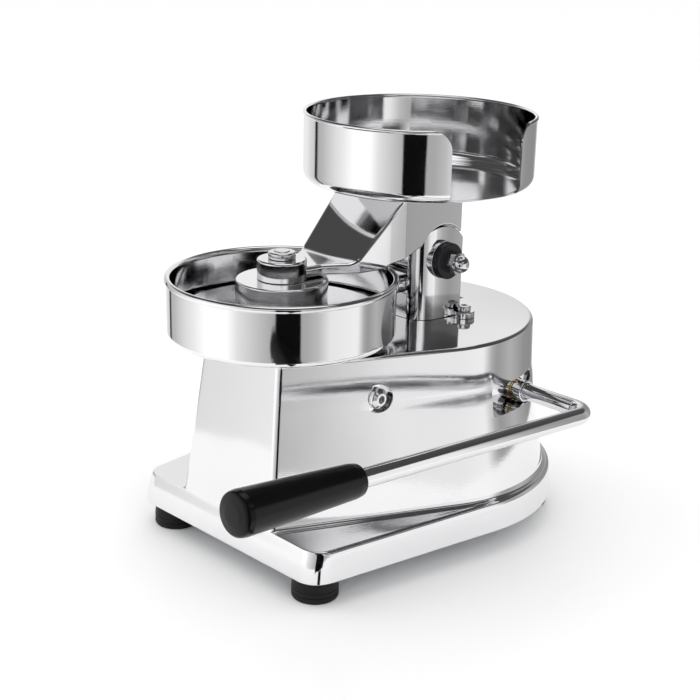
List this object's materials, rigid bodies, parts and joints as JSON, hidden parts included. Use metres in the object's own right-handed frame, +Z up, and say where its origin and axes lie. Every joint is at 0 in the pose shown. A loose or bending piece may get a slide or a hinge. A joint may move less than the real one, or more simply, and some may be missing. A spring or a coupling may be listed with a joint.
{
  "type": "patty press",
  "caption": "Hand lever patty press: polished base, round steel mould bowl with ejector, press plate on a swing-up arm that carries an open-sided paper tray.",
  "frame": {"origin": "middle of the whole press's bounding box, at the bench surface under the feet", "axes": "+Z up; -Y to the front, where the bowl and the grip are; +X to the lever side"},
  "size_m": [0.2802, 0.4004, 0.2942],
  "materials": {
    "casting": "bright polished cast aluminium",
    "stainless": "mirror polished stainless steel sheet and bar",
    "bright_fastener": "bright turned steel",
    "black_fastener": "black oxide, satin",
    "brass": "turned, satin",
    "zinc_plate": "zinc plated, satin",
    "foot_rubber": "matte moulded",
    "grip_plastic": "moulded, semi gloss"
  },
  "bodies": {
    "base": {"base_casting": "casting", "bottom_cover": "zinc_plate", "bowl": "stainless", "bowl_ring": "casting", "ejector_guide": "brass", "foot_front_left": "foot_rubber", "foot_front_right": "foot_rubber", "foot_rear_left": "foot_rubber", "foot_rear_right": "foot_rubber", "foot_screw_front_left": "bright_fastener", "foot_screw_front_right": "bright_fastener", "foot_screw_rear_left": "bright_fastener", "foot_screw_rear_right": "bright_fastener", "guide_nut": "bright_fastener", "pivot_bolt": "bright_fastener", "pivot_nut": "bright_fastener", "pivot_washer": "black_fastener", "pivot_washer_left": "bright_fastener", "rocker_bolt": "bright_fastener", "rocker_nut": "bright_fastener", "shaft_bush_left": "brass", "shaft_bush_right": "brass", "web_screw_left": "bright_fastener", "web_screw_right": "bright_fastener", "yoke": "casting", "yoke_screw_left": "bright_fastener", "yoke_screw_right": "bright_fastener"},
    "lever": {"lever_bar": "stainless", "grip": "grip_plastic", "shaft_collar": "bright_fastener", "lever_crank": "zinc_plate", "crank_link_pin": "bright_fastener", "crank_ejector_pin": "bright_fastener"},
    "press_arm": {"press_arm": "casting", "press_plate": "casting", "press_stud": "bright_fastener", "stud_nut": "bright_fastener", "paper_tray": "stainless", "tray_screw_left": "bright_fastener", "tray_screw_right": "bright_fastener", "arm_tail_pin": "bright_fastener"},
    "ejector": {"ejector_plate": "stainless", "ejector_rod": "bright_fastener"},
    "rocker": {"ejector_rocker": "zinc_plate", "rocker_link_pin": "bright_fastener"},
    "press_link": {"press_link": "zinc_plate"},
    "ejector_link": {"ejector_link": "zinc_plate"}
  },
  "joints": [
    {"name": "lever_hinge", "type": "hinge", "parent": "base", "child": "lever", "pos_m": [-0.02395, 0.11834, 0.1039], "axis": [-1, 0, 0], "range_deg": [0, 54]},
    {"name": "arm_hinge", "type": "hinge", "parent": "base", "child": "press_arm", "pos_m": [-0.02395, 0.08954, 0.1938], "axis": [-1, 0, 0], "range_deg": [0, 54]},
    {"name": "ejector_slide", "type": "slide", "parent": "base", "child": "ejector", "axis": [0, 0, 1], "range_m": [0, 0.0289]},
    {"name": "rocker_hinge", "type": "hinge", "parent": "base", "child": "rocker", "pos_m": [-0.02395, -0.00596, 0.121], "axis": [-1, 0, 0], "range_deg": [0, 54]},
    {"name": "press_link_hinge", "type": "hinge", "parent": "lever", "child": "press_link", "pos_m": [-0.02395, 0.14374, 0.1157], "axis": [-1, 0, 0], "range_deg": [-54, 0]},
    {"name": "ejector_link_hinge", "type": "hinge", "parent": "lever", "child": "ejector_link", "pos_m": [-0.02395, 0.11834, 0.0789], "axis": [-1, 0, 0], "range_deg": [-54, 0]}
  ],
  "couplings": [
    {"joint": "arm_hinge", "follows": "lever_hinge", "ratio": 1},
    {"joint": "rocker_hinge", "follows": "lever_hinge", "ratio": 1},
    {"joint": "press_link_hinge", "follows": "lever_hinge", "ratio": -1},
    {"joint": "ejector_link_hinge", "follows": "lever_hinge", "ratio": -1},
    {"joint": "ejector_slide", "follows": "lever_hinge", "m_per_rad": 0.0305}
  ]
}
